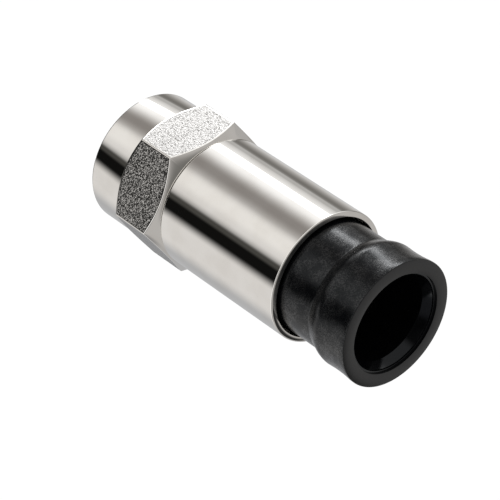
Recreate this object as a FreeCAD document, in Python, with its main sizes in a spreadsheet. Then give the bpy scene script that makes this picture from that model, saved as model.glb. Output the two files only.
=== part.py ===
import FreeCAD, Part
import os
import Sketcher

# Compression type coaxial plug for a round cable. It stands on the front face of its coupling nut:
# origin at the centre of that face, Z up along the connector's axis, towards the cable end.
# Lengths are in millimetres and angles in degrees.

doc = FreeCAD.newDocument("CompressionConnector")
sizes = doc.addObject("Spreadsheet::Sheet", "sizes")

# Each row: name, size, meaning
driving = [
    # Cable side, from the inside out
    ("coreBore", 4.9, "bore of the post, over the cable's insulated core"),
    ("postWall", 0.3, "wall of the post's thin tube"),
    ("shankStep", 0.2, "rise from the thin tube to the pressed shank"),
    ("barbRise", 0.3, "height of the barb over the thin tube"),
    ("tipWall", 0.14, "wall of the post at its sharp tip"),
    ("barbLength", 1.6, "length of the barb's slope"),
    ("postReach", 8.8, "from the body's inner floor to the post's tip"),
    ("jacketRoom", 0.51, "room between barb and sleeve for the cable's jacket"),
    ("sleeveWall", 1.14, "wall of the sleeve's neck"),
    ("neckGap", 0.24, "gap between the sleeve's neck and the body's bore"),
    ("bodyWall", 0.46, "wall of the body's tube"),
    # Nut side, from the inside out
    ("noseWall", 0.47, "wall of the body's nose round the pressed shank"),
    ("noseRun", 0.08, "running gap between nose and nut"),
    ("threadDiameter", 9.525, "major diameter of the nut's thread"),
    ("flangeGap", 0.56, "room round the post's flange inside the nut"),
    ("skirtWall", 0.6875, "wall of the nut's round skirt, outside the thread"),
    ("flatRise", 0.05, "how far a flat's middle stands over the skirt"),
    # Nut along the axis
    ("skirtLength", 3.33, "round skirt in front of the hexagon"),
    ("hexLength", 4.9, "from the skirt to the nut's rear face"),
    ("frontBevel", 40.0, "slope of the hexagon's front bevel, from the end plane"),
    ("rearBevel", 35.0, "slope of the hexagon's rear bevel, from the end plane"),
    ("rearLand", 0.25, "how far the rear face ends inside the flats"),
    ("cornerRound", 0.12, "rounding along the six corners"),
    ("skirtRound", 0.1, "rounding of the skirt's front rim"),
    ("entryBevel", 0.2, "bevel where the thread begins"),
    ("reliefLength", 2.0, "turned relief behind the thread"),
    ("reliefDepth", 0.3, "depth of that relief below the thread's root"),
    ("lipLength", 0.7, "inner lip that the post's flange pulls on"),
    ("sealPocket", 1.0, "depth of the seal's pocket in the nut's rear"),
    ("sealWall", 0.92, "thickness of the seal ring between nose and pocket"),
    ("sealFit", 0.02, "gap between the seal and what it runs on"),
    ("sealBevel", 0.2, "bevels of the seal ring"),
    # Post along the axis
    ("flangePlay", 0.1, "end play of the nut under the flange"),
    ("flangeLength", 0.8, "thickness of the post's flange"),
    ("postEdge", 0.15, "bevels of the flange"),
    # Body along the axis
    ("nutGap", 0.12, "gap between the nut's rear face and the body"),
    ("hubLength", 2.18, "from the body's front face to its inner floor"),
    ("wellDepth", 0.7, "straight part of the body's well above the floor"),
    ("wellStep", 0.62, "how far the well is narrower than the bore"),
    ("clampLength", 0.8, "cone that squeezes the sleeve's tip inwards"),
    ("tipRoom", 0.1, "between the pressed sleeve's tip and that cone"),
    ("frontRound", 0.12, "rounding of the body's front edge"),
    ("rimBevel", 0.06, "bevel outside the body's rim"),
    ("mouthBevel", 0.06, "bevel inside the body's rim"),
    ("grooveDepth", 0.12, "depth of the groove that holds the sleeve's ridge"),
    ("grooveLength", 1.2, "length of that groove"),
    # Sleeve along the axis
    ("insertLength", 5.12, "part of the sleeve inside the body as supplied"),
    ("pressStroke", 3.8, "how far the sleeve is pressed in"),
    ("stopRoom", 0.04, "between the shoulder and the rim's inner bevel when pressed in"),
    ("ridgeGap", 0.06, "gap between the sleeve's ridge and the bore"),
    ("ridgeLength", 0.7, "crest of the ridge"),
    ("ridgeBack", 0.25, "from the groove's front wall to the ridge"),
    ("ridgeSlope", 0.4, "length of the ridge's leading slope"),
    ("tipBevel", 0.3, "bevel of the sleeve's tip"),
    ("shoulderAngle", 23.4, "slope of the shoulder, from the axis"),
    ("shoulderRise", 0.446, "height of the shoulder over the neck"),
    ("collarLength", 3.09, "from the shoulder's top to the end face"),
    ("collarLand", 0.28, "straight rim beside the end face"),
    ("collarFlare", 0.035, "how far that rim stands over the shoulder's top"),
    ("waistRadius", 12.0, "radius of the collar's hollow outline"),
    ("endBevel", 0.04, "bevel of the end face's outer edge"),
    ("mouthWiden", 0.54, "how much wider the mouth is than the cable bore"),
    ("mouthDepth", 0.18, "depth of the wide mouth"),
    ("mouthLedge", 0.16, "small ledge at the bottom of the mouth"),
    ("stepDepth", 0.14, "depth of the second step below that ledge"),
    ("leadWiden", 0.23, "how much wider the lead-in cone starts than the cable bore"),
    ("leadDepth", 0.68, "length of the cone that leads the cable in"),
]
for row, (name, value, meaning) in enumerate(driving, 1):
    sizes.set("A%d" % row, meaning)
    sizes.set("B%d" % row, str(value))
    sizes.setAlias("B%d" % row, name)
doc.recompute()

# Radii that follow from the sizes above
coreRadius = "(sizes.coreBore / 2)"
tubeRadius = "(%s + sizes.postWall)" % coreRadius
shankRadius = "(%s + sizes.shankStep)" % tubeRadius
barbRadius = "(%s + sizes.barbRise)" % tubeRadius
cableRadius = "(%s + sizes.jacketRoom)" % barbRadius
neckRadius = "(%s + sizes.sleeveWall)" % cableRadius
boreRadius = "(%s + sizes.neckGap)" % neckRadius
bodyRadius = "(%s + sizes.bodyWall)" % boreRadius
noseRadius = "(%s + sizes.noseWall)" % shankRadius
lipRadius = "(%s + sizes.noseRun)" % noseRadius
threadRadius = "(sizes.threadDiameter / 2)"
flangeRadius = "(%s - sizes.flangeGap)" % threadRadius
skirtRadius = "(%s + sizes.skirtWall)" % threadRadius
flatRadius = "(%s + sizes.flatRise)" % skirtRadius
cornerRadius = "(%s / cos(30))" % flatRadius
pocketRadius = "(%s + sizes.sealWall + 2 * sizes.sealFit)" % noseRadius

# Heights above the nut's front face
nutRear = "(sizes.skirtLength + sizes.hexLength)"
pocketFloor = "(%s - sizes.sealPocket)" % nutRear
lipFront = "(%s - sizes.lipLength)" % pocketFloor
reliefFront = "(%s - sizes.reliefLength)" % lipFront
flangeRear = "(%s - sizes.flangePlay)" % lipFront
flangeFront = "(%s - sizes.flangeLength)" % flangeRear
bodyFront = "(%s + sizes.nutGap)" % nutRear
hubFloor = "(%s + sizes.hubLength)" % bodyFront
clampStart = "(%s + sizes.wellDepth)" % hubFloor
clampEnd = "(%s + sizes.clampLength)" % clampStart
tipHeight = "(%s + sizes.tipRoom + sizes.pressStroke)" % clampEnd
bodyRim = "(%s + sizes.insertLength)" % tipHeight
postTip = "(%s + sizes.postReach)" % hubFloor


def number(expression):
    return float(sizes.evalExpression(expression))


def newBody(label):
    body = doc.addObject("PartDesign::Body", label)
    body.Label = label
    return body


def sketchOn(body, role, name):
    sketch = body.newObject("Sketcher::SketchObject", name)
    plane = [feature for feature in body.Origin.OriginFeatures if feature.Role == role][0]
    sketch.AttachmentSupport = [(plane, "")]
    sketch.MapMode = "FlatFace"
    return sketch


def bind(sketch, kind, geometry, point, expression):
    value = number(expression)
    index = sketch.addConstraint(Sketcher.Constraint(kind, -1, 1, geometry, point, value))
    sketch.setExpression("Constraints[%d]" % index, expression)


# A corner is (radius, height) or (radius, height, arc, side): the edge that leaves such a corner
# is an arc of that radius, bulging to the left (1) or to the right (-1).
def outline(sketch, corners):
    points = [FreeCAD.Vector(number(c[0]), number(c[1]), 0) for c in corners]
    ends = []
    for i, corner in enumerate(corners):
        here = points[i]
        there = points[(i + 1) % len(points)]
        if len(corner) == 2:
            ends.append((sketch.addGeometry(Part.LineSegment(here, there), False), 1, 2))
            continue
        radius = number(corner[2])
        run = there - here
        half = run.Length / 2
        rise = radius - (radius ** 2 - half ** 2) ** 0.5 if radius > half else half
        left = FreeCAD.Vector(-run.y, run.x, 0).normalize()
        middle = here + run / 2 + left * rise * corner[3]
        if corner[3] > 0:
            edge = sketch.addGeometry(Part.Arc(there, middle, here), False)
            ends.append((edge, 2, 1))
        else:
            edge = sketch.addGeometry(Part.Arc(here, middle, there), False)
            ends.append((edge, 1, 2))
        index = sketch.addConstraint(Sketcher.Constraint("Radius", edge, radius))
        sketch.setExpression("Constraints[%d]" % index, corner[2])
    for i, corner in enumerate(corners):
        edge, start, end = ends[i]
        before = ends[i - 1]
        sketch.addConstraint(Sketcher.Constraint("Coincident", before[0], before[2], edge, start))
        bind(sketch, "DistanceX", edge, start, corner[0])
        bind(sketch, "DistanceY", edge, start, corner[1])


def turned(body, kind, name, corners):
    sketch = sketchOn(body, "XZ_Plane", name + "Outline")
    outline(sketch, corners)
    before = body.Shape.Volume if body.Tip else 0
    feature = body.newObject("PartDesign::" + kind, name)
    feature.Profile = sketch
    feature.ReferenceAxis = (sketch, ["V_Axis"])
    feature.Angle = 360
    sketch.Visibility = False
    doc.recompute()
    change = feature.Shape.Volume - before
    if (change > 0) != (kind == "Revolution") or abs(change) < 1e-4:
        raise RuntimeError("%s changed nothing" % name)
    return feature


# Coupling nut: hexagon with rounded corners, bevelled at both ends, then the skirt and the bore
nut = newBody("coupling_nut")
hexagon = sketchOn(nut, "XY_Plane", "hexagon")
hexagon.setExpression("AttachmentOffset.Base.z", "sizes.skirtLength")
outline(hexagon, [
    ("%s * cos(%d)" % (cornerRadius, angle), "%s * sin(%d)" % (cornerRadius, angle))
    for angle in range(0, 360, 60)
])
flats = nut.newObject("PartDesign::Pad", "flats")
flats.Profile = hexagon
flats.setExpression("Length", "sizes.hexLength")
doc.recompute()

upright = []
for i, edge in enumerate(flats.Shape.Edges):
    if abs(edge.Vertexes[0].Z - edge.Vertexes[-1].Z) > 1e-6:
        upright.append("Edge%d" % (i + 1))
softCorners = nut.newObject("PartDesign::Fillet", "softCorners")
softCorners.Base = (flats, upright)
softCorners.setExpression("Radius", "sizes.cornerRound")
doc.recompute()

beyond = "(2 * %s)" % cornerRadius
landRadius = "(%s - sizes.rearLand)" % flatRadius
turned(nut, "Groove", "frontBevelCut", [
    (skirtRadius, "sizes.skirtLength"),
    (beyond, "sizes.skirtLength"),
    (beyond, "sizes.skirtLength + (%s - %s) * tan(sizes.frontBevel)" % (beyond, skirtRadius)),
])
turned(nut, "Groove", "rearBevelCut", [
    (landRadius, nutRear),
    (beyond, "%s - (%s - %s) * tan(sizes.rearBevel)" % (nutRear, beyond, landRadius)),
    (beyond, nutRear),
])
turned(nut, "Revolution", "skirt", [
    ("0", "0"),
    ("%s - sizes.skirtRound" % skirtRadius, "0", "sizes.skirtRound", -1),
    (skirtRadius, "sizes.skirtRound"),
    (skirtRadius, "sizes.skirtLength"),
    ("0", "sizes.skirtLength"),
])
turned(nut, "Groove", "nutBore", [
    ("0", "0"),
    ("%s + sizes.entryBevel" % threadRadius, "0"),
    (threadRadius, "sizes.entryBevel"),
    (threadRadius, reliefFront),
    ("%s + sizes.reliefDepth" % threadRadius, "%s + sizes.reliefDepth" % reliefFront),
    ("%s + sizes.reliefDepth" % threadRadius, lipFront),
    (lipRadius, lipFront),
    (lipRadius, pocketFloor),
    (pocketRadius, pocketFloor),
    (pocketRadius, nutRear),
    ("0", nutRear),
])

# Seal ring: square cut, on the body's nose, in the nut's rear pocket
seal = newBody("nut_seal")
sealInside = "(%s + sizes.sealFit)" % noseRadius
sealOutside = "(%s + sizes.sealWall)" % sealInside
sealFront = "(%s + sizes.sealFit)" % pocketFloor
sealRear = "(%s - sizes.sealFit)" % bodyFront
turned(seal, "Revolution", "sealRing", [
    (sealInside, "%s + sizes.sealBevel" % sealFront),
    ("%s + sizes.sealBevel" % sealInside, sealFront),
    ("%s - sizes.sealBevel" % sealOutside, sealFront),
    (sealOutside, "%s + sizes.sealBevel" % sealFront),
    (sealOutside, "%s - sizes.sealBevel" % sealRear),
    ("%s - sizes.sealBevel" % sealOutside, sealRear),
    ("%s + sizes.sealBevel" % sealInside, sealRear),
    (sealInside, "%s - sizes.sealBevel" % sealRear),
])

# Center post: flange behind the nut's thread, shank pressed into the body, thin tube with a barb
post = newBody("center_post")
turned(post, "Revolution", "postTube", [
    ("%s + sizes.postEdge" % coreRadius, flangeFront),
    ("%s - sizes.postEdge" % flangeRadius, flangeFront),
    (flangeRadius, "%s + sizes.postEdge" % flangeFront),
    (flangeRadius, flangeRear),
    (shankRadius, flangeRear),
    (shankRadius, hubFloor),
    (tubeRadius, hubFloor),
    (tubeRadius, "%s - sizes.barbLength" % postTip),
    (barbRadius, "%s - sizes.barbLength" % postTip),
    ("%s + sizes.tipWall" % coreRadius, postTip),
    (coreRadius, postTip),
    (coreRadius, "%s + sizes.postEdge" % flangeFront),
])

# Body: nose inside the nut, hub round the post's shank, and the thin walled clamping tube
body = newBody("connector_body")
grooveFront = "(%s + sizes.tipBevel + sizes.ridgeSlope)" % tipHeight
grooveRear = "(%s + sizes.grooveLength)" % grooveFront
wellRadius = "(%s - sizes.wellStep)" % boreRadius
turned(body, "Revolution", "bodyTube", [
    (shankRadius, flangeRear),
    (noseRadius, flangeRear),
    (noseRadius, bodyFront),
    ("%s - sizes.frontRound" % bodyRadius, bodyFront, "sizes.frontRound", -1),
    (bodyRadius, "%s + sizes.frontRound" % bodyFront),
    (bodyRadius, "%s - sizes.rimBevel" % bodyRim),
    ("%s - sizes.rimBevel" % bodyRadius, bodyRim),
    ("%s + sizes.mouthBevel" % boreRadius, bodyRim),
    (boreRadius, "%s - sizes.mouthBevel" % bodyRim),
    (boreRadius, grooveRear),
    ("%s + sizes.grooveDepth" % boreRadius, "%s - sizes.grooveDepth" % grooveRear),
    ("%s + sizes.grooveDepth" % boreRadius, grooveFront),
    (boreRadius, grooveFront),
    (boreRadius, clampEnd),
    (wellRadius, clampStart),
    (wellRadius, hubFloor),
    (shankRadius, hubFloor),
])

# Compression sleeve: tip with a ridge in the body's groove, neck, shoulder, hollow collar, cable mouth
sleeve = newBody("compression_sleeve")
ridgeRadius = "(%s - sizes.ridgeGap)" % boreRadius
ridgeFront = "(%s + sizes.ridgeBack)" % grooveFront
seatHeight = "(%s - sizes.mouthBevel + sizes.pressStroke + sizes.stopRoom)" % bodyRim
shoulderFoot = "(%s - sizes.neckGap / tan(sizes.shoulderAngle))" % seatHeight
shoulderTop = "(%s + sizes.shoulderRise / tan(sizes.shoulderAngle))" % shoulderFoot
topRadius = "(%s + sizes.shoulderRise)" % neckRadius
rimRadius = "(%s + sizes.collarFlare)" % topRadius
endFace = "(%s + sizes.collarLength)" % shoulderTop
mouthRadius = "(%s + sizes.mouthWiden)" % cableRadius
mouthFloor = "(%s - sizes.mouthDepth)" % endFace
leadStart = "(%s - sizes.stepDepth)" % mouthFloor
turned(sleeve, "Revolution", "sleeveWall", [
    (cableRadius, tipHeight),
    ("%s - sizes.tipBevel" % neckRadius, tipHeight),
    (neckRadius, "%s + sizes.tipBevel" % tipHeight),
    (neckRadius, "%s - sizes.ridgeSlope" % ridgeFront),
    (ridgeRadius, ridgeFront),
    (ridgeRadius, "%s + sizes.ridgeLength" % ridgeFront),
    (neckRadius, "%s + sizes.ridgeLength" % ridgeFront),
    (neckRadius, shoulderFoot),
    (topRadius, shoulderTop, "sizes.waistRadius", 1),
    (rimRadius, "%s - sizes.collarLand" % endFace),
    (rimRadius, "%s - sizes.endBevel" % endFace),
    ("%s - sizes.endBevel" % rimRadius, endFace),
    (mouthRadius, endFace),
    (mouthRadius, mouthFloor),
    ("%s - sizes.mouthLedge" % mouthRadius, mouthFloor),
    ("%s - sizes.mouthLedge" % mouthRadius, leadStart),
    ("%s + sizes.leadWiden" % cableRadius, leadStart),
    (cableRadius, "%s - sizes.leadDepth" % leadStart),
])


# Each piece has to be sound before any file is written
doc.recompute()
pieces = [nut, seal, post, body, sleeve]
for item in doc.Objects:
    if "Invalid" in item.State or "Error" in item.State:
        raise RuntimeError("%s is not sound: %s" % (item.Label, item.State))
for piece in pieces:
    if piece.Shape.isNull() or not piece.Shape.isValid() or len(piece.Shape.Solids) != 1:
        raise RuntimeError("%s is not one sound solid" % piece.Label)

os.makedirs("parts", exist_ok=True)
for piece in pieces:
    piece.Shape.exportStep("parts/%s.step" % piece.Label)
    box = piece.Shape.optimalBoundingBox()
    print("%-20s volume %8.2f  heights %6.2f to %6.2f  width %5.2f" % (
        piece.Label, piece.Shape.Volume, box.ZMin, box.ZMax, box.XLength))
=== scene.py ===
import math
import bmesh
import bpy
from mathutils import Matrix, Vector


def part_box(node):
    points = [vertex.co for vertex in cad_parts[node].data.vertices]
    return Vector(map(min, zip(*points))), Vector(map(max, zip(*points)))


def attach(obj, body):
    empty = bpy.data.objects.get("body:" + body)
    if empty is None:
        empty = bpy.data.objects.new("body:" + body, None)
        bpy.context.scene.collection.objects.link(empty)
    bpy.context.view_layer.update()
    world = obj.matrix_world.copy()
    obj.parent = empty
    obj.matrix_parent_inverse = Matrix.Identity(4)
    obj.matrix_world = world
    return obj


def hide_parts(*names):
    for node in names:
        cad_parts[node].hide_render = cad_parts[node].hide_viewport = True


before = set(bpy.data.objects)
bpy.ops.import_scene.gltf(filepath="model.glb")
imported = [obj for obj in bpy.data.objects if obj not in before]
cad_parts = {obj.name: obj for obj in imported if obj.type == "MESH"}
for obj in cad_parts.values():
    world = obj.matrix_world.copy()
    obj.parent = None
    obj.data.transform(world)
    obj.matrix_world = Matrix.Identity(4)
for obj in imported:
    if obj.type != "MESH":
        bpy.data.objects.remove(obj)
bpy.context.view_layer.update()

# Compression plug for a coaxial cable. It stands on the front face of its nut, with Z along its axis.
# Pieces are modelled in millimetres and brought to metres when they are finished.
mm = 0.001
onPlane = 1e-5  # points this close to a cutting plane count as on it
scene = bpy.context.scene


def top(node):
    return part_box(node)[1][2] / mm


def bottom(node):
    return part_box(node)[0][2] / mm


def reach(node):
    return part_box(node)[1][0] / mm


# A socket that takes part in ordinary sums
class Signal:
    def __init__(self, nodes, socket):
        self.nodes = nodes
        self.socket = socket

    def maths(self, operation, other=0.0):
        return self.nodes.add("ShaderNodeMath", {"operation": operation}, {0: self, 1: other})

    def __add__(self, other):
        return self.maths("ADD", other)

    __radd__ = __add__

    def __mul__(self, other):
        return self.maths("MULTIPLY", other)

    __rmul__ = __mul__


# The nodes of one material or of the world
class NodeBoard:
    def __init__(self, owner):
        owner.use_nodes = True
        self.tree = owner.node_tree
        self.tree.nodes.clear()

    def add(self, kind, settings, sockets, output=0):
        node = self.tree.nodes.new(kind)
        for name, value in settings.items():
            setattr(node, name, value)
        for name, value in sockets.items():
            if isinstance(value, Signal):
                self.tree.links.new(value.socket, node.inputs[name])
            else:
                node.inputs[name].default_value = value
        if node.outputs:
            return Signal(self, node.outputs[output])

    def grain(self, size, detail, roughness=0.5, stretch=(1, 1, 1)):
        place = self.add("ShaderNodeTexCoord", {}, {}, "Object")
        spread = self.add("ShaderNodeMapping", {}, {"Vector": place, "Scale": stretch})
        return self.add("ShaderNodeTexNoise", {}, {
            "Vector": spread, "Scale": 1 / (size * mm), "Detail": detail, "Roughness": roughness})

    def between(self, signal, low, high, fromLow=0.0, fromHigh=1.0):
        return self.add("ShaderNodeMapRange", {"interpolation_type": "SMOOTHSTEP"}, {
            "Value": signal, "From Min": fromLow, "From Max": fromHigh, "To Min": low, "To Max": high})

    # Inputs 6 and 7 and output 2 are the Mix node's colours
    def tint(self, factor, first, second):
        return self.add("ShaderNodeMix", {"data_type": "RGBA"}, {0: factor, 6: first, 7: second}, 2)

    def bump(self, height, distance):
        return self.add("ShaderNodeBump", {}, {"Height": height, "Distance": distance * mm})

    def surface(self, sockets):
        shader = self.add("ShaderNodeBsdfPrincipled", {}, sockets)
        self.add("ShaderNodeOutputMaterial", {}, {"Surface": shader})


def finish(name):
    material = bpy.data.materials.new(name)
    return material, NodeBoard(material)


def rgb(red, green, blue):
    return (red, green, blue, 1.0)


white = rgb(1, 1, 1)

# Bright plate on turned brass: faint turning marks round the axis and a slight haze
nickel = {
    "colour": rgb(0.79, 0.775, 0.75),
    "dull": rgb(0.74, 0.72, 0.69),
    "roughness": (0.03, 0.055),
    "haze": 2.4,
    "hazeRange": (0.35, 0.7),
    "linePitch": 0.05,
    "lineRun": 50.0,
    "lineDepth": 0.00035,
}
tin = dict(nickel, colour=rgb(0.76, 0.755, 0.74), roughness=(0.18, 0.28))


def polishedPlate(name, look):
    material, nodes = finish(name)
    clouds = nodes.between(nodes.grain(look["haze"], 3), 0, 1, *look["hazeRange"])
    alongLine = 1 / look["lineRun"]
    lines = nodes.grain(1.0, 2, stretch=(alongLine, alongLine, 1 / look["linePitch"]))
    nodes.surface({
        "Base Color": nodes.tint(clouds, look["colour"], look["dull"]),
        "Metallic": 1.0,
        "Roughness": nodes.between(clouds, *look["roughness"]),
        "Normal": nodes.bump(lines, look["lineDepth"]),
    })
    return material


# The nut's flats keep the grain of the drawn bar under the plate, finer and deeper on every other flat.
# The shallow-grain flats are also painted darker than the plate, as painted shade that holds down the
# lamp's light on them.
shallowGrainPaintedShade = {
    # painted shade: this colour is darker than the plate so that the lamp doesn't wash these flats out
    "colour": rgb(0.31, 0.306, 0.3),
    "pit": rgb(0.14, 0.137, 0.132),
    "pitRange": (0.47, 0.39),
    "roughness": 0.285,
    "size": 0.13,
    "coarser": 2.7,  # size of the second grain that is mixed in, in sizes of the first
    "coarserShare": 0.25,
    "depth": 0.02,
}
deepGrain = dict(
    shallowGrainPaintedShade,
    colour=rgb(0.64, 0.627, 0.607),
    pit=rgb(0.055, 0.054, 0.052),
    pitRange=(0.57, 0.5),
    size=0.085,
    depth=0.08,
)


def grainedPlate(name, look):
    material, nodes = finish(name)
    sand = nodes.grain(look["size"], 1)
    coarser = nodes.grain(look["size"] * look["coarser"], 1)
    relief = sand * (1 - look["coarserShare"]) + coarser * look["coarserShare"]
    pits = nodes.between(relief, 0, 1, *look["pitRange"])
    nodes.surface({
        "Base Color": nodes.tint(pits, look["colour"], look["pit"]),
        "Metallic": 1.0,
        "Roughness": look["roughness"],
        "Normal": nodes.bump(relief, look["depth"]),
    })
    return material


# Satin moulded plastic: its skin sparkles a little where it catches the light. A glint's four numbers
# are its least and most strength, and the two grain levels between which it grows.
plastic = {
    "colour": rgb(0.0022, 0.0024, 0.003),
    "pale": rgb(0.0032, 0.0034, 0.004),
    "paleRange": (0.35, 0.7),
    "roughness": (0.15, 0.19),
    "roughRange": (0.3, 0.7),
    "ior": 1.3,
    "tint": rgb(0.88, 0.94, 1.0),
    "sparkle": (0.0, 0.7),
    "sandGlint": (0.2, 1, 0.42, 0.62),
    "patchGlint": (0.3, 1, 0.35, 0.65),
    "haze": 0.29,
    "size": 0.1,
    "patches": 0.9,
    "depth": 0.006,
}
plasticFace = dict(plastic, sparkle=(0.5, 0.55), depth=0.002)
plasticMouth = dict(plastic, sparkle=(0.0, 0.02), roughness=(0.1, 0.13), ior=1.45, depth=0.001)


def satinPlastic(name, look):
    material, nodes = finish(name)
    sand = nodes.grain(look["size"], 2, 0.6)
    patches = nodes.grain(look["patches"], 3)
    glints = nodes.between(sand, *look["sandGlint"]) * nodes.between(patches, *look["patchGlint"])
    paler = nodes.between(patches, 0, 1, *look["paleRange"])
    nodes.surface({
        "Base Color": nodes.tint(paler, look["colour"], look["pale"]),
        "Roughness": nodes.between(patches, *look["roughness"], *look["roughRange"]),
        "IOR": look["ior"],
        "Specular Tint": look["tint"],
        "Coat Weight": nodes.between(glints, *look["sparkle"]),
        "Coat Roughness": look["haze"],
        "Normal": nodes.bump(sand, look["depth"]),
    })
    return material


# Soft black rubber of the seal
rubber = {
    "colour": rgb(0.02, 0.02, 0.02),
    "roughness": (0.5, 0.65),
    "patches": 0.5,
    "size": 0.08,
    "depth": 0.002,
}


def softRubber(name, look):
    material, nodes = finish(name)
    nodes.surface({
        "Base Color": look["colour"],
        "Roughness": nodes.between(nodes.grain(look["patches"], 2), *look["roughness"]),
        "Normal": nodes.bump(nodes.grain(look["size"], 2), look["depth"]),
    })
    return material


finishes = {
    "nickel": polishedPlate("nickel_plate", nickel),
    "tin": polishedPlate("tin_plate", tin),
    "shallowGrainPaintedShade": grainedPlate("shallow_grained_plate_painted_shade", shallowGrainPaintedShade),
    "deepGrain": grainedPlate("deep_grained_plate", deepGrain),
    "plastic": satinPlastic("black_plastic", plastic),
    "plasticFace": satinPlastic("black_plastic_face", plasticFace),
    "plasticMouth": satinPlastic("black_plastic_mouth", plasticMouth),
    "rubber": softRubber("seal_rubber", rubber),
}
print("finishes ready")


# Corners are (radius, height) or (radius, height, rounding)
def turn(corners, steps, segments=5):
    bm = bmesh.new()
    outline = [bm.verts.new((corner[0], 0, corner[1])) for corner in corners]
    bm.faces.new(outline)
    for size in sorted({corner[2] for corner in corners if len(corner) == 3}):
        rounded = [vert for vert, corner in zip(outline, corners) if corner[2:] == (size,)]
        bmesh.ops.bevel(bm, geom=rounded, offset=size, offset_type="OFFSET", segments=segments,
                        profile=0.5, affect="VERTICES", material=-1)
    bmesh.ops.delete(bm, geom=bm.faces[:], context="FACES_ONLY")
    bmesh.ops.spin(bm, geom=bm.verts[:] + bm.edges[:], cent=(0, 0, 0), axis=(0, 0, 1),
                   angle=2 * math.pi, steps=steps, use_merge=True)
    bmesh.ops.recalc_face_normals(bm, faces=bm.faces[:])
    return bm


# Cuts off what lies outwards of a plane and gives the edges of the cut
def trim(bm, place, outwards):
    cut = bmesh.ops.bisect_plane(bm, geom=bm.verts[:] + bm.edges[:] + bm.faces[:], dist=onPlane,
                                 plane_co=place, plane_no=outwards, clear_outer=True)
    return [item for item in cut["geom_cut"] if isinstance(item, bmesh.types.BMEdge)]


def finishPiece(bm, name, body, materials, nodes=(), sharp=30):
    bmesh.ops.scale(bm, vec=(mm, mm, mm), verts=bm.verts[:])
    for face in bm.faces:
        face.smooth = True
    mesh = bpy.data.meshes.new(name)
    bm.to_mesh(mesh)
    bm.free()
    mesh.set_sharp_from_angle(angle=math.radians(sharp))
    for material in materials:
        mesh.materials.append(finishes[material])
    piece = bpy.data.objects.new(name, mesh)
    scene.collection.objects.link(piece)
    even = piece.modifiers.new("evenNormals", "WEIGHTED_NORMAL")
    even.keep_sharp = True
    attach(piece, body)
    if nodes:
        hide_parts(*nodes)


# Coupling nut: a turned blank whose hexagon is cut flat by flat, so that its cones leave arched corners
nut = {
    "skirtRadius": 5.45,
    "skirtLength": 3.33,
    "flats": 6,
    "flatRadius": 5.5,
    "blankRadius": 6.6,
    "frontBevel": 40,
    "rearBevel": 35,
    "rearLand": 0.25,
    "skirtRound": 0.16,
    "rearRound": 0.03,
    "threadRadius": 4.7625,
    "entryBevel": 0.2,
    "reliefLength": 2.0,
    "reliefDepth": 0.3,
    "lipRadius": 3.5,
    "lipFront": 6.53,
    "pocketFloor": 7.23,
    "pocketRadius": 4.38,
    "edgeBevel": 0.085,
    "margin": 0.06,  # plain border left round the grain of each flat
    "steps": 384,
}


def makeNut(spec):
    rear = top("coupling_nut")
    beyond = spec["blankRadius"]
    landRadius = spec["flatRadius"] - spec["rearLand"]
    frontRise = (beyond - spec["skirtRadius"]) * math.tan(math.radians(spec["frontBevel"]))
    rearDrop = (beyond - landRadius) * math.tan(math.radians(spec["rearBevel"]))
    reliefFront = spec["lipFront"] - spec["reliefLength"]
    reliefRadius = spec["threadRadius"] + spec["reliefDepth"]
    bm = turn([
        (spec["threadRadius"] + spec["entryBevel"], 0),
        (spec["skirtRadius"], 0, spec["skirtRound"]),
        (spec["skirtRadius"], spec["skirtLength"]),
        (beyond, spec["skirtLength"] + frontRise),
        (beyond, rear - rearDrop),
        (landRadius, rear, spec["rearRound"]),
        (spec["pocketRadius"], rear),
        (spec["pocketRadius"], spec["pocketFloor"]),
        (spec["lipRadius"], spec["pocketFloor"]),
        (spec["lipRadius"], spec["lipFront"]),
        (reliefRadius, spec["lipFront"]),
        (reliefRadius, reliefFront + spec["reliefDepth"]),
        (spec["threadRadius"], reliefFront),
        (spec["threadRadius"], spec["entryBevel"]),
    ], spec["steps"])
    for flat in range(spec["flats"]):
        angle = math.radians(360 / spec["flats"] * (flat + 0.5))
        normal = Vector((math.cos(angle), math.sin(angle), 0))
        edges = trim(bm, normal * spec["flatRadius"], normal)
        for face in bmesh.ops.holes_fill(bm, edges=edges, sides=0)["faces"]:
            face.material_index = 1 + flat % 2
    corners = []
    borders = []
    for edge in bm.edges:
        kinds = [face.material_index for face in edge.link_faces]
        if 0 not in kinds:
            corners.append(edge)
        elif any(kinds):
            borders.append(edge)
    bmesh.ops.bevel(bm, geom=corners + borders, offset=spec["edgeBevel"], offset_type="OFFSET", segments=2,
                    profile=0.5, affect="EDGES", material=0, clamp_overlap=True)
    grained = [face for face in bm.faces if face.material_index]
    border = bmesh.ops.inset_region(bm, faces=grained, thickness=spec["margin"], use_even_offset=True)
    for face in border["faces"]:
        face.material_index = 0
    bmesh.ops.recalc_face_normals(bm, faces=bm.faces[:])
    finishPiece(bm, "nut_shell", "nut", ["nickel", "deepGrain", "shallowGrainPaintedShade"], ["coupling_nut"])


# Ridge of the fine thread inside the nut, spun a little too long and trimmed at both ends
thread = {
    "pitch": 25.4 / 32,
    "rootRadius": 4.79,
    "crestRadius": 4.35,
    "crestShare": 0.25,
    "rootShare": 0.9,
    "start": 0.12,
    "end": 4.58,
    "spareTurns": 2,
    "stepsPerTurn": 96,
}


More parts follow.
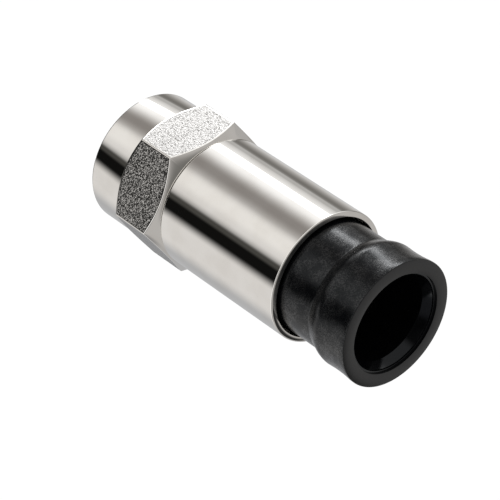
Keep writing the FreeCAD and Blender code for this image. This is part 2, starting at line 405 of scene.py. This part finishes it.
def makeThread(spec):
    bm = bmesh.new()
    halfRoot = spec["pitch"] * spec["rootShare"] / 2
    halfCrest = spec["pitch"] * spec["crestShare"] / 2
    start = spec["start"] - spec["pitch"]
    corners = [
        (spec["rootRadius"], -halfRoot),
        (spec["rootRadius"], halfRoot),
        (spec["crestRadius"], halfCrest),
        (spec["crestRadius"], -halfCrest),
    ]
    ridge = bm.faces.new([bm.verts.new((radius, 0, start + height)) for radius, height in corners])
    turns = math.ceil((spec["end"] - spec["start"]) / spec["pitch"]) + spec["spareTurns"]
    rise = spec["pitch"] / spec["stepsPerTurn"]
    bmesh.ops.spin(bm, geom=[ridge], cent=(0, 0, 0), axis=(0, 0, 1), dvec=(0, 0, rise),
                   angle=2 * math.pi * turns, steps=turns * spec["stepsPerTurn"])
    for height, outwards in ((spec["start"], -1), (spec["end"], 1)):
        edges = trim(bm, (0, 0, height), (0, 0, outwards))
        bmesh.ops.triangle_fill(bm, use_beauty=True, edges=edges)
    bmesh.ops.recalc_face_normals(bm, faces=bm.faces[:])
    finishPiece(bm, "nut_thread", "nut", ["nickel"])


# Body: nose in the nut, hub, and the polished tube with its thin rim
tube = {
    "shankRadius": 2.95,
    "noseRadius": 3.42,
    "frontHeight": 8.35,
    "frontRound": 0.12,
    "rimRound": 0.12,
    "innerRound": 0.05,
    "rimSlope": 0.04,
    "boreRadius": 4.94,
    "wellRadius": 4.32,
    "floorHeight": 10.53,
    "wellTop": 11.23,
    "clampTop": 12.03,
    "grooveFront": 16.63,
    "grooveRear": 17.83,
    "grooveDepth": 0.12,
    "steps": 384,
}


def makeTube(spec):
    radius = reach("connector_body")
    rim = top("connector_body")
    nose = bottom("connector_body")
    groove = spec["boreRadius"] + spec["grooveDepth"]
    bm = turn([
        (spec["shankRadius"], nose),
        (spec["noseRadius"], nose),
        (spec["noseRadius"], spec["frontHeight"]),
        (radius, spec["frontHeight"], spec["frontRound"]),
        (radius, rim - spec["rimSlope"], spec["rimRound"]),
        (spec["boreRadius"], rim, spec["innerRound"]),
        (spec["boreRadius"], spec["grooveRear"]),
        (groove, spec["grooveRear"] - spec["grooveDepth"]),
        (groove, spec["grooveFront"]),
        (spec["boreRadius"], spec["grooveFront"]),
        (spec["boreRadius"], spec["clampTop"]),
        (spec["wellRadius"], spec["wellTop"]),
        (spec["wellRadius"], spec["floorHeight"]),
        (spec["shankRadius"], spec["floorHeight"]),
    ], spec["steps"])
    finishPiece(bm, "body_tube", "body", ["nickel"], ["connector_body"])


# Post: flange, shank in the body's hub, and thin tube with a barb
post = {
    "coreRadius": 2.45,
    "flangeLength": 0.8,
    "edge": 0.12,
    "shankRadius": tube["shankRadius"],
    "shankTop": tube["floorHeight"],
    "tubeRadius": 2.75,
    "barbRadius": 3.05,
    "barbLength": 1.6,
    "tipRadius": 2.59,
    "steps": 192,
}


def makePost(spec):
    front = bottom("center_post")
    tip = top("center_post")
    flange = reach("center_post")
    bm = turn([
        (spec["coreRadius"], front, spec["edge"]),
        (flange, front, spec["edge"]),
        (flange, front + spec["flangeLength"]),
        (spec["shankRadius"], front + spec["flangeLength"]),
        (spec["shankRadius"], spec["shankTop"]),
        (spec["tubeRadius"], spec["shankTop"]),
        (spec["tubeRadius"], tip - spec["barbLength"]),
        (spec["barbRadius"], tip - spec["barbLength"]),
        (spec["tipRadius"], tip),
        (spec["coreRadius"], tip),
    ], spec["steps"])
    finishPiece(bm, "post_tube", "body", ["tin"], ["center_post"])


# Seal ring in the nut's rear pocket, on the body's nose
seal = {
    "clearance": 0.02,
    "edge": 0.2,
    "edgeSegments": 3,
    "steps": 160,
}


def makeSeal(spec):
    inside = tube["noseRadius"] + spec["clearance"]
    outside = reach("nut_seal")
    low = bottom("nut_seal")
    high = top("nut_seal")
    bm = turn([
        (inside, low, spec["edge"]),
        (outside, low, spec["edge"]),
        (outside, high, spec["edge"]),
        (inside, high, spec["edge"]),
    ], spec["steps"], spec["edgeSegments"])
    finishPiece(bm, "seal_ring", "body", ["rubber"], ["nut_seal"])


# Plastic sleeve: ridge at its tip, neck, shoulder, hollow waist, end land and the cable's mouth
sleeve = {
    "cableRadius": 3.56,
    "neckRadius": 4.7,
    "tipBevel": 0.3,
    "ridgeRadius": 4.88,
    "ridgeFront": 16.88,
    "ridgeLength": 0.7,
    "ridgeSlope": 0.4,
    "shoulderFoot": 24.275,
    "shoulderTop": 25.306,
    "shoulderRadius": 5.146,
    "footRound": 0.12,
    "topRound": 0.45,
    "rimLand": 0.28,
    "rimRound": 0.06,
    "waistRadius": 12.0,
    "waistPoints": 9,
    "mouthRadius": 4.1,
    "mouthRound": 0.02,
    "mouthDepth": 0.18,
    "ledge": 0.16,
    "ledgeRound": 0.015,
    "stepDepth": 0.14,
    "leadDepth": 0.68,
    "leadRound": 0.02,
    "faceDepth": 0.02,  # what lies nearer to the end than this has the end face's finish
    "sharp": 24,
    "steps": 320,
}


# Points of a hollow arc between two corners
def hollow(start, end, radius, count):
    chord = Vector(end) - Vector(start)
    middle = (Vector(start) + Vector(end)) / 2
    across = Vector((chord.y, -chord.x)).normalized()
    centre = middle + across * math.sqrt(radius ** 2 - (chord.length / 2) ** 2)
    first = Vector(start) - centre
    sweep = 2 * math.asin(chord.length / 2 / radius)
    turns = [Matrix.Rotation(-sweep * i / (count + 1), 2) for i in range(1, count + 1)]
    return [tuple(centre + part @ first) for part in turns]


def makeSleeve(spec):
    tip = bottom("compression_sleeve")
    end = top("compression_sleeve")
    rim = reach("compression_sleeve")
    cable = spec["cableRadius"]
    neck = spec["neckRadius"]
    mouth = spec["mouthRadius"]
    ridgeRear = spec["ridgeFront"] + spec["ridgeLength"]
    shoulder = (spec["shoulderRadius"], spec["shoulderTop"])
    land = (rim, end - spec["rimLand"])
    floor = end - spec["mouthDepth"]
    step = floor - spec["stepDepth"]
    bm = turn([
        (cable, tip),
        (neck - spec["tipBevel"], tip),
        (neck, tip + spec["tipBevel"]),
        (neck, spec["ridgeFront"] - spec["ridgeSlope"]),
        (spec["ridgeRadius"], spec["ridgeFront"]),
        (spec["ridgeRadius"], ridgeRear),
        (neck, ridgeRear),
        (neck, spec["shoulderFoot"], spec["footRound"]),
        shoulder + (spec["topRound"],),
        *hollow(shoulder, land, spec["waistRadius"], spec["waistPoints"]),
        land,
        (rim, end, spec["rimRound"]),
        (mouth, end, spec["mouthRound"]),
        (mouth, floor),
        (mouth - spec["ledge"], floor, spec["ledgeRound"]),
        (mouth - spec["ledge"], step, spec["ledgeRound"]),
        (cable, step - spec["leadDepth"], spec["leadRound"]),
    ], spec["steps"])
    for face in bm.faces:
        middle = face.calc_center_median()
        if middle.z > end - spec["faceDepth"]:
            face.material_index = 1
        elif middle.xy.length < mouth:
            face.material_index = 2
    finishPiece(bm, "plastic_sleeve", "sleeve", ["plastic", "plasticFace", "plasticMouth"],
                ["compression_sleeve"], spec["sharp"])


makeNut(nut)
makeThread(thread)
makeTube(tube)
makePost(post)
makeSeal(seal)
makeSleeve(sleeve)
print("pieces made")

# Camera: where it stands, in degrees round the part, how the picture is turned, and where the middle
# of the tube's rim lies in its view
view = {
    "side": 247.5,
    "height": 37.6,
    "roll": 124.2,
    "lens": 180.0,
    "sensor": 36.0,
    "distance": 183.67,
    "rimRight": 5.569,
    "rimDown": 1.976,
    "below": 0.12,  # the rim's measured circle lies this far below its top
    "nearest": 0.01,
    "farthest": 10.0,
}


def makeCamera(spec):
    lens = bpy.data.cameras.new("camera")
    lens.lens = spec["lens"]
    lens.sensor_width = spec["sensor"]
    lens.clip_start = spec["nearest"]
    lens.clip_end = spec["farthest"]
    camera = bpy.data.objects.new("camera", lens)
    scene.collection.objects.link(camera)
    turned = Matrix.Rotation(math.radians(spec["side"] + 90), 3, "Z")
    turned = turned @ Matrix.Rotation(math.radians(90 - spec["height"]), 3, "X")
    turned = turned @ Matrix.Rotation(math.radians(spec["roll"]), 3, "Z")
    rimInView = Vector((spec["rimRight"], -spec["rimDown"], -spec["distance"]))
    place = Vector((0, 0, top("connector_body") - spec["below"])) - turned @ rimInView
    camera.matrix_world = Matrix.Translation(place * mm) @ turned.to_4x4()
    scene.camera = camera


makeCamera(view)
print("camera placed")

# Studio: a pale room with cards round the part, each laid over those before it. A card has its middle,
# half its width and the softness of its sides, in degrees round the part, counted from the side that
# makes the upper outline in the picture. One without a middle goes all round. One that doesn't span the
# room's full height also has a rise or a fall, the heights between which it fades in or out.
wall = rgb(0.838, 0.82, 0.802)
cards = {
    "greyCard": {"middle": -32.0, "half": 22.3, "soft": 28.4, "colour": rgb(0.143, 0.135, 0.124)},
    "softbox": {"middle": 10.8, "half": 22.2, "soft": 28.7, "colour": rgb(1.29, 1.29, 1.29)},
    "gap": {"middle": 49.3, "half": 17.0, "soft": 14.8, "colour": rgb(0.318, 0.299, 0.286)},
    "reflector": {"middle": 85.3, "half": 13.0, "soft": 8.7, "colour": rgb(0.988, 0.968, 0.939)},
    "blackFlag": {"middle": 132.4, "half": 18.2, "soft": 9.4, "colour": rgb(0.0065, 0.0064, 0.006)},
    "slit": {"middle": 120.6, "half": 4.0, "soft": 3.0, "colour": rgb(0.07, 0.068, 0.062)},
    "seam": {"middle": -22.4, "half": 4.6, "soft": 1.4, "colour": rgb(0.545, 0.54, 0.53)},
    "shade": {"middle": 250.0, "half": 39.0, "soft": 18.0, "colour": rgb(0.515, 0.519, 0.53)},
    "lamp": {"middle": 5.0, "half": 5.5, "soft": 4.5, "rise": (-0.85, -0.75), "fall": (-0.45, -0.35),
             "colour": rgb(8.0, 8.0, 8.0)},
    "window": {"middle": 90.0, "half": 105.0, "soft": 20.0, "rise": (-0.45, -0.3),
               "colour": rgb(1.3, 1.29, 1.27)},
    "upper": {"rise": (0.06, 0.14), "colour": rgb(0.5, 0.49, 0.48)},
    "upperSide": {"middle": 165.0, "half": 40.0, "soft": 10.0, "rise": (0.06, 0.14),
                  "colour": rgb(0.2, 0.2, 0.21)},
    "overhead": {"rise": (0.38, 0.5), "colour": rgb(0.56, 0.545, 0.53)},
    "watcher": {"middle": 104.0, "half": 32.0, "soft": 10.0, "rise": (0.2, 0.26), "fall": (0.4, 0.46),
                "colour": rgb(0.01, 0.01, 0.01)},
    "corner": {"middle": 250.0, "half": 15.0, "soft": 4.0, "rise": (0.42, 0.5), "fall": (0.7, 0.78),
               "colour": rgb(0.03, 0.03, 0.03)},
    "ceiling": {"rise": (0.72, 0.95), "colour": rgb(0.2, 0.195, 0.185)},
    "table": {"fall": (-0.93, -0.84), "colour": rgb(0.06, 0.059, 0.057)},
    "tableBack": {"middle": 270.0, "half": 100.0, "soft": 15.0, "fall": (-0.85, -0.77),
                  "colour": rgb(0.05, 0.049, 0.047)},
}


# How much of a card is seen in each direction, from 0 to 1
def cardCover(nodes, card, level, height):
    cover = 1.0
    if "middle" in card:
        angle = math.radians(view["side"] - 90 + card["middle"])
        towards = (math.cos(angle), math.sin(angle), 0)
        facing = nodes.add("ShaderNodeVectorMath", {"operation": "DOT_PRODUCT"},
                           {0: level, 1: towards}, "Value")
        inner = math.radians(card["half"] - card["soft"])
        outer = math.radians(card["half"] + card["soft"])
        cover = nodes.between(facing.maths("ARCCOSINE"), 1, 0, inner, outer)
    if "rise" in card:
        cover = nodes.between(height, 0, 1, *card["rise"]) * cover
    if "fall" in card:
        cover = nodes.between(height, 1, 0, *card["fall"]) * cover
    return cover


def makeStudio():
    world = bpy.data.worlds.new("studio")
    scene.world = world
    nodes = NodeBoard(world)
    direction = nodes.add("ShaderNodeTexCoord", {}, {}, "Generated")
    height = nodes.add("ShaderNodeSeparateXYZ", {}, {"Vector": direction}, "Z")
    flat = nodes.add("ShaderNodeVectorMath", {"operation": "MULTIPLY"}, {0: direction, 1: (1, 1, 0)})
    level = nodes.add("ShaderNodeVectorMath", {"operation": "NORMALIZE"}, {0: flat})
    room = wall
    for card in cards.values():
        room = nodes.tint(cardCover(nodes, card, level, height), room, card["colour"])
    seen = nodes.add("ShaderNodeLightPath", {}, {}, "Is Camera Ray")
    light = nodes.add("ShaderNodeBackground", {}, {"Color": nodes.tint(seen, room, white)})
    nodes.add("ShaderNodeOutputWorld", {}, {"Surface": light})


makeStudio()

# Floor: white to the camera, with some of the part's shadow left on it
floorLook = {
    "radius": 600.0,
    "segments": 96,
    "paint": rgb(0.9, 0.9, 0.9),
    "glow": 1.14,
    "glowShare": 0.85,
}


def makeFloor(spec):
    bm = bmesh.new()
    bmesh.ops.create_circle(bm, cap_ends=True, segments=spec["segments"], radius=spec["radius"] * mm)
    mesh = bpy.data.meshes.new("floor")
    bm.to_mesh(mesh)
    bm.free()
    material, nodes = finish("floor_white")
    paint = nodes.add("ShaderNodeBsdfDiffuse", {}, {"Color": spec["paint"]})
    glow = nodes.add("ShaderNodeEmission", {}, {"Color": white, "Strength": spec["glow"]})
    seen = nodes.add("ShaderNodeLightPath", {}, {}, "Is Camera Ray")
    both = nodes.add("ShaderNodeMixShader", {}, {0: seen * spec["glowShare"], 1: paint, 2: glow})
    nodes.add("ShaderNodeOutputMaterial", {}, {"Surface": both})
    mesh.materials.append(material)
    floor = bpy.data.objects.new("floor", mesh)
    scene.collection.objects.link(floor)
    floor.visible_glossy = False
    floor.visible_shadow = False


makeFloor(floorLook)
scene.view_settings.view_transform = "Standard"
print("studio ready")
